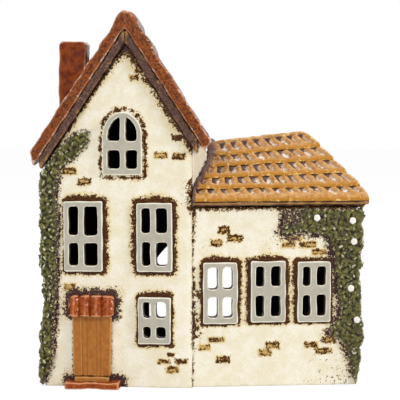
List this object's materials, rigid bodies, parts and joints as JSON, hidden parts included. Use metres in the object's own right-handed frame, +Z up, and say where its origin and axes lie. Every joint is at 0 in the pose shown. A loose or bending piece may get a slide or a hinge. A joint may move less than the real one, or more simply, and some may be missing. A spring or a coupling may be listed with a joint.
{
  "type": "house tea light holder",
  "caption": "Glazed ceramic cottage with a gabled tower and a hipped wing, pierced windows and a rear arch through which a tea light is set inside.",
  "frame": {"origin": "centre of the footprint's box, on the surface the house stands on", "axes": "+Z up, +X to the right seen from the front, +Y to the back; the door side faces -Y"},
  "size_m": [0.1708, 0.089, 0.1903],
  "materials": {
    "wall_glaze": "glossy cream glaze with fine crackle and brown speckle",
    "window_glaze": "glossy grey glaze",
    "roof_glaze": "glossy red-brown mottled glaze",
    "dark_glaze": "semi-gloss purple-brown glaze",
    "tile_glaze": "glossy golden brown glaze",
    "chimney_glaze": "glossy dark red-brown glaze",
    "door_glaze": "glossy caramel glaze",
    "terracotta_glaze": "glossy terracotta glaze",
    "ivy_glaze": "glossy dark green glaze",
    "flower_glaze": "glossy off-white glaze"
  },
  "bodies": {
    "root": {"floor": "wall_glaze", "tower_front_wall": "wall_glaze", "tower_left_wall": "wall_glaze", "tower_side_wall": "wall_glaze", "wing_front_wall": "wall_glaze", "wing_right_wall": "wall_glaze", "back_wall": "wall_glaze", "tower_roof_left": "roof_glaze", "tower_roof_right": "roof_glaze", "tower_underlay_left": "dark_glaze", "tower_underlay_right": "dark_glaze", "wing_underlay_front": "dark_glaze", "wing_underlay_hip": "dark_glaze", "wing_underlay_back": "dark_glaze", "wing_ridge_roll": "tile_glaze", "chimney": "chimney_glaze", "door": "door_glaze", "door_sill": "door_glaze", "door_step": "terracotta_glaze", "door_canopy": "terracotta_glaze", "ivy_left": "ivy_glaze", "ivy_right": "ivy_glaze", "wing_tiles_front_1": "tile_glaze", "wing_tiles_front_2": "tile_glaze", "wing_tiles_front_3": "tile_glaze", "wing_tiles_front_4": "tile_glaze", "wing_tiles_front_5": "tile_glaze", "wing_tiles_hip_1": "tile_glaze", "wing_tiles_hip_2": "tile_glaze", "wing_tiles_hip_3": "tile_glaze", "wing_tiles_hip_4": "tile_glaze", "wing_tiles_hip_5": "tile_glaze", "wing_tiles_back_1": "tile_glaze", "wing_tiles_back_2": "tile_glaze", "wing_tiles_back_3": "tile_glaze", "wing_tiles_back_4": "tile_glaze", "wing_tiles_back_5": "tile_glaze", "window_gable": "window_glaze", "window_upper_left": "window_glaze", "window_upper_right": "window_glaze", "window_lower_right": "window_glaze", "window_wing_left": "window_glaze", "window_wing_middle": "window_glaze", "window_wing_right": "window_glaze", "flower_1": "flower_glaze", "flower_2": "flower_glaze", "flower_3": "flower_glaze", "flower_4": "flower_glaze", "flower_5": "flower_glaze"}
  },
  "joints": []
}
